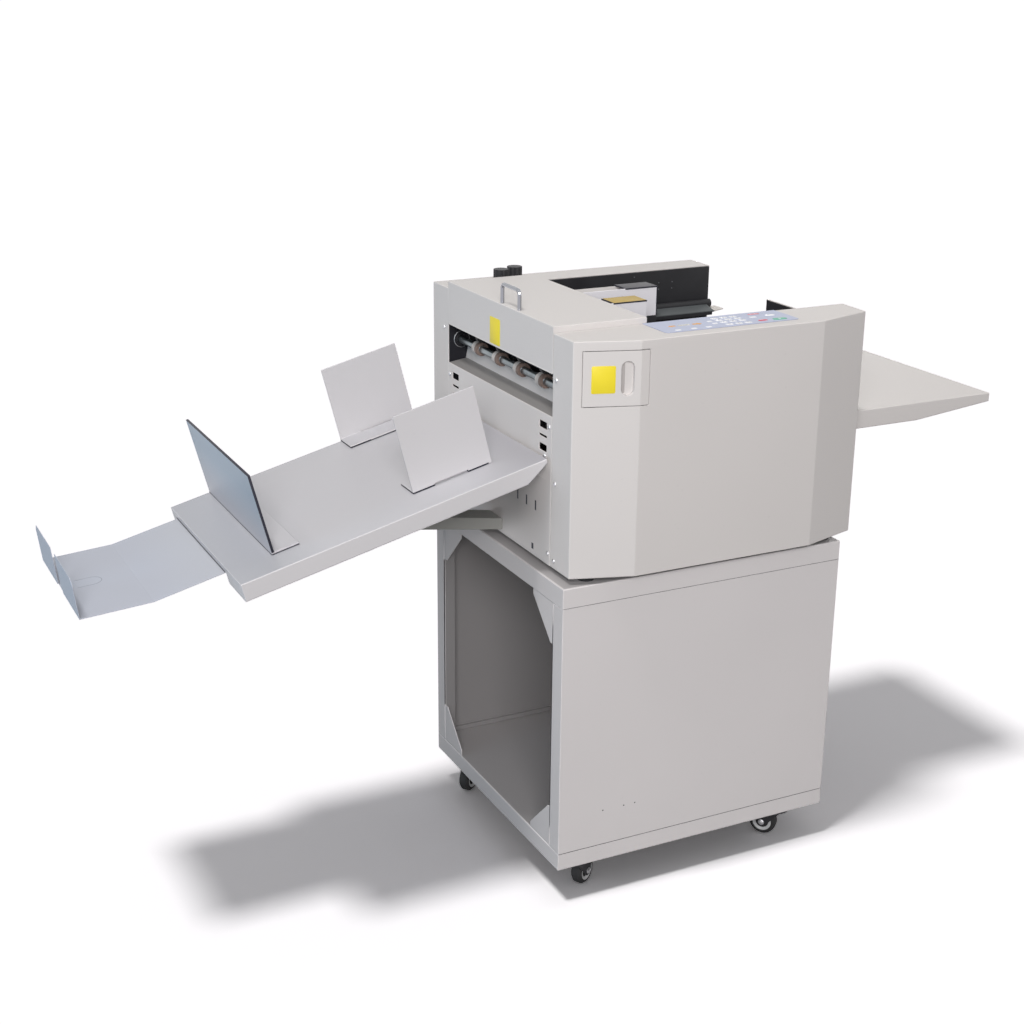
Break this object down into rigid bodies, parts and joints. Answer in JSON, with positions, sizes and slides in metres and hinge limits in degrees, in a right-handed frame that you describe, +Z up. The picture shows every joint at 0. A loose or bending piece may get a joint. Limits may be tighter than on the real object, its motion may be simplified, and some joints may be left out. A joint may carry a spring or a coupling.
{
  "type": "paper slitter creaser",
  "caption": "Shop paper slitter and creaser on a castor stand: enclosed cutting body with hinged hood and door, lifting feed table, sloping delivery tray with sliding stops.",
  "frame": {"origin": "centre of the whole machine's footprint box, on the floor", "axes": "+X towards the feed table, +Y away from the operator's side, +Z up"},
  "size_m": [1.6549, 0.5692, 1.0283],
  "materials": {
    "light_paint": "satin powder coat",
    "stand_paint": "satin powder coat",
    "tray_paint": "satin powder coat",
    "black_plastic": "fine texture",
    "black_sheet": "matt black",
    "steel": "machined",
    "chrome": "polished",
    "rubber": "matt",
    "overlay": "printed film, left plain",
    "board_green": "lacquered board",
    "supply_case": "folded case"
  },
  "bodies": {
    "machine": {"control_board": "board_green", "control_panel": "overlay", "crease_anvil": "steel", "delivery_end_plate": "light_paint", "delivery_tray": "tray_paint", "drive_belt": "rubber", "drive_motor": "steel", "feed_deck": "black_sheet", "feed_end_plate": "light_paint", "feed_side_liner": "black_plastic", "feed_side_shelf": "black_sheet", "front_cover": "light_paint", "hood_hinge": "steel", "machine_base": "steel", "power_inlet": "black_plastic", "power_supply": "supply_case", "rear_cover": "light_paint", "rubber_foot_1": "rubber", "rubber_foot_2": "rubber", "rubber_foot_3": "rubber", "rubber_foot_4": "rubber", "separator_bar": "black_sheet", "side_frame_front": "black_sheet", "side_frame_rear": "black_sheet", "stand_base": "stand_paint", "stand_front_panel": "stand_paint", "stand_rear_panel": "stand_paint", "stand_top_frame": "stand_paint", "tray_support_arm": "tray_paint"},
    "castor_front_left": {"castor_fork_front_left": "black_plastic"},
    "wheel_front_left": {"castor_wheel_front_left": "rubber"},
    "brake_front_left": {"castor_brake_front_left": "steel"},
    "castor_front_right": {"castor_fork_front_right": "black_plastic"},
    "wheel_front_right": {"castor_wheel_front_right": "rubber"},
    "brake_front_right": {"castor_brake_front_right": "steel"},
    "castor_rear_left": {"castor_fork_rear_left": "black_plastic"},
    "wheel_rear_left": {"castor_wheel_rear_left": "rubber"},
    "castor_rear_right": {"castor_fork_rear_right": "black_plastic"},
    "wheel_rear_right": {"castor_wheel_rear_right": "rubber"},
    "hood": {"hood": "light_paint", "hood_handle": "chrome"},
    "access_door": {"access_door": "light_paint"},
    "adjust_knob_1": {"adjust_knob_1": "black_plastic"},
    "adjust_knob_2": {"adjust_knob_2": "black_plastic"},
    "exit_bottom_rollers": {"exit_bottom_rollers": "steel"},
    "exit_top_rollers": {"exit_top_rollers": "steel"},
    "motor_pulley": {"motor_pulley": "steel"},
    "slitter_bottom_shaft": {"slitter_bottom_shaft": "steel"},
    "slitter_top_shaft": {"slitter_top_shaft": "steel"},
    "feed_rollers": {"feed_rollers": "rubber"},
    "crease_bar": {"crease_bar": "steel"},
    "feed_table": {"feed_table": "light_paint"},
    "feed_back_stop": {"feed_back_stop": "black_sheet"},
    "feed_guide_front": {"feed_guide_front": "light_paint"},
    "feed_guide_rear": {"feed_guide_rear": "light_paint"},
    "tray_extension": {"tray_extension": "tray_paint"},
    "end_stop": {"end_stop": "tray_paint"},
    "side_guide_front": {"side_guide_front": "tray_paint"},
    "side_guide_rear": {"side_guide_rear": "tray_paint"},
    "power_switch": {"power_switch": "black_plastic"}
  },
  "joints": [
    {"name": "castor_swivel_front_left", "type": "hinge", "parent": "machine", "child": "castor_front_left", "pos_m": [-0.03242, -0.22945, 0.066], "axis": [0, 0, 1], "continuous": true},
    {"name": "castor_roll_front_left", "type": "hinge", "parent": "castor_front_left", "child": "wheel_front_left", "pos_m": [-0.01206, -0.21673, 0.025], "axis": [-0.5299, 0.848, 0], "continuous": true},
    {"name": "castor_brake_front_left", "type": "hinge", "parent": "castor_front_left", "child": "brake_front_left", "pos_m": [0.00002, -0.20918, 0.055], "axis": [-0.5299, 0.848, 0], "range_deg": [0, 20]},
    {"name": "castor_swivel_front_right", "type": "hinge", "parent": "machine", "child": "castor_front_right", "pos_m": [0.38958, -0.22945, 0.066], "axis": [0, 0, 1], "continuous": true},
    {"name": "castor_roll_front_right", "type": "hinge", "parent": "castor_front_right", "child": "wheel_front_right", "pos_m": [0.37448, -0.2108, 0.025], "axis": [-0.7771, -0.6293, 0], "continuous": true},
    {"name": "castor_brake_front_right", "type": "hinge", "parent": "castor_front_right", "child": "brake_front_right", "pos_m": [0.36551, -0.19972, 0.055], "axis": [-0.7771, -0.6293, 0], "range_deg": [0, 20]},
    {"name": "castor_swivel_rear_left", "type": "hinge", "parent": "machine", "child": "castor_rear_left", "pos_m": [-0.03242, 0.18455, 0.066], "axis": [0, 0, 1], "continuous": true},
    {"name": "castor_roll_rear_left", "type": "hinge", "parent": "castor_rear_left", "child": "wheel_rear_left", "pos_m": [-0.05183, 0.17044, 0.025], "axis": [0.5878, -0.809, 0], "continuous": true},
    {"name": "castor_swivel_rear_right", "type": "hinge", "parent": "machine", "child": "castor_rear_right", "pos_m": [0.39958, 0.19255, 0.066], "axis": [0, 0, 1], "continuous": true},
    {"name": "castor_roll_rear_right", "type": "hinge", "parent": "castor_rear_right", "child": "wheel_rear_right", "pos_m": [0.39137, 0.17, 0.025], "axis": [0.9397, -0.342, 0], "continuous": true},
    {"name": "hood_hinge", "type": "hinge", "parent": "machine", "child": "hood", "pos_m": [0.01558, 0.22135, 0.9836], "axis": [-1, 0, 0], "range_deg": [0, 80]},
    {"name": "access_door_hinge", "type": "hinge", "parent": "machine", "child": "access_door", "pos_m": [-0.05261, -0.25554, 0.9216], "axis": [0, 0, -1], "range_deg": [0, 110]},
    {"name": "adjust_knob_1_turn", "type": "hinge", "parent": "machine", "child": "adjust_knob_1", "pos_m": [0.04858, 0.24655, 0.9806], "axis": [0, 0, 1], "range_deg": [-150, 150]},
    {"name": "adjust_knob_2_turn", "type": "hinge", "parent": "machine", "child": "adjust_knob_2", "pos_m": [0.08308, 0.26105, 0.9806], "axis": [0, 0, 1], "range_deg": [-150, 150]},
    {"name": "exit_bottom_spin", "type": "hinge", "parent": "machine", "child": "exit_bottom_rollers", "pos_m": [-0.04492, 0.0168, 0.8856], "axis": [0, 1, 0], "continuous": true},
    {"name": "exit_top_spin", "type": "hinge", "parent": "machine", "child": "exit_top_rollers", "pos_m": [-0.04492, 0.0168, 0.9079], "axis": [0, 1, 0], "continuous": true},
    {"name": "motor_spin", "type": "hinge", "parent": "machine", "child": "motor_pulley", "pos_m": [0.06858, 0.22505, 0.7164], "axis": [0, 1, 0], "continuous": true},
    {"name": "slitter_bottom_spin", "type": "hinge", "parent": "machine", "child": "slitter_bottom_shaft", "pos_m": [0.00658, 0.0168, 0.87814], "axis": [0, 1, 0], "continuous": true},
    {"name": "slitter_top_spin", "type": "hinge", "parent": "machine", "child": "slitter_top_shaft", "pos_m": [0.00658, 0.0168, 0.91914], "axis": [0, 1, 0], "continuous": true},
    {"name": "feed_roller_spin", "type": "hinge", "parent": "machine", "child": "feed_rollers", "pos_m": [0.08558, 0.0168, 0.8883], "axis": [0, 1, 0], "continuous": true},
    {"name": "crease_press", "type": "slide", "parent": "machine", "child": "crease_bar", "axis": [0, 0, 1], "range_m": [-0.006, 0], "stiffness_N_per_m": 2000, "springref_m": 0.01},
    {"name": "feed_table_lift", "type": "slide", "parent": "machine", "child": "feed_table", "axis": [0, 0, 1], "range_m": [0, 0.095]},
    {"name": "feed_back_stop_slide", "type": "slide", "parent": "feed_table", "child": "feed_back_stop", "axis": [1, 0, 0], "range_m": [-0.04, 0.2]},
    {"name": "feed_guide_front_slide", "type": "slide", "parent": "machine", "child": "feed_guide_front", "axis": [0, 1, 0], "range_m": [-0.15, 0.04]},
    {"name": "feed_guide_rear_slide", "type": "slide", "parent": "machine", "child": "feed_guide_rear", "axis": [0, 1, 0], "range_m": [-0.04, 0.06]},
    {"name": "tray_extension_slide", "type": "slide", "parent": "machine", "child": "tray_extension", "axis": [0.9691, 0, 0.2467], "range_m": [-0.12, 0.1]},
    {"name": "end_stop_slide", "type": "slide", "parent": "machine", "child": "end_stop", "axis": [0.9691, 0, 0.2467], "range_m": [-0.06, 0.18]},
    {"name": "side_guide_front_slide", "type": "slide", "parent": "machine", "child": "side_guide_front", "axis": [0, 1, 0], "range_m": [-0.06, 0.1]},
    {"name": "side_guide_rear_slide", "type": "slide", "parent": "machine", "child": "side_guide_rear", "axis": [0, 1, 0], "range_m": [-0.13, 0]},
    {"name": "power_switch_rock", "type": "hinge", "parent": "machine", "child": "power_switch", "pos_m": [0.47888, 0.2522, 0.6809], "axis": [0, 1, 0], "range_deg": [-18, 0]}
  ],
  "couplings": [
    {"joint": "exit_top_spin", "follows": "exit_bottom_spin", "ratio": -1.2},
    {"joint": "motor_spin", "follows": "exit_bottom_spin", "ratio": 1},
    {"joint": "slitter_top_spin", "follows": "slitter_bottom_spin", "ratio": -1}
  ]
}
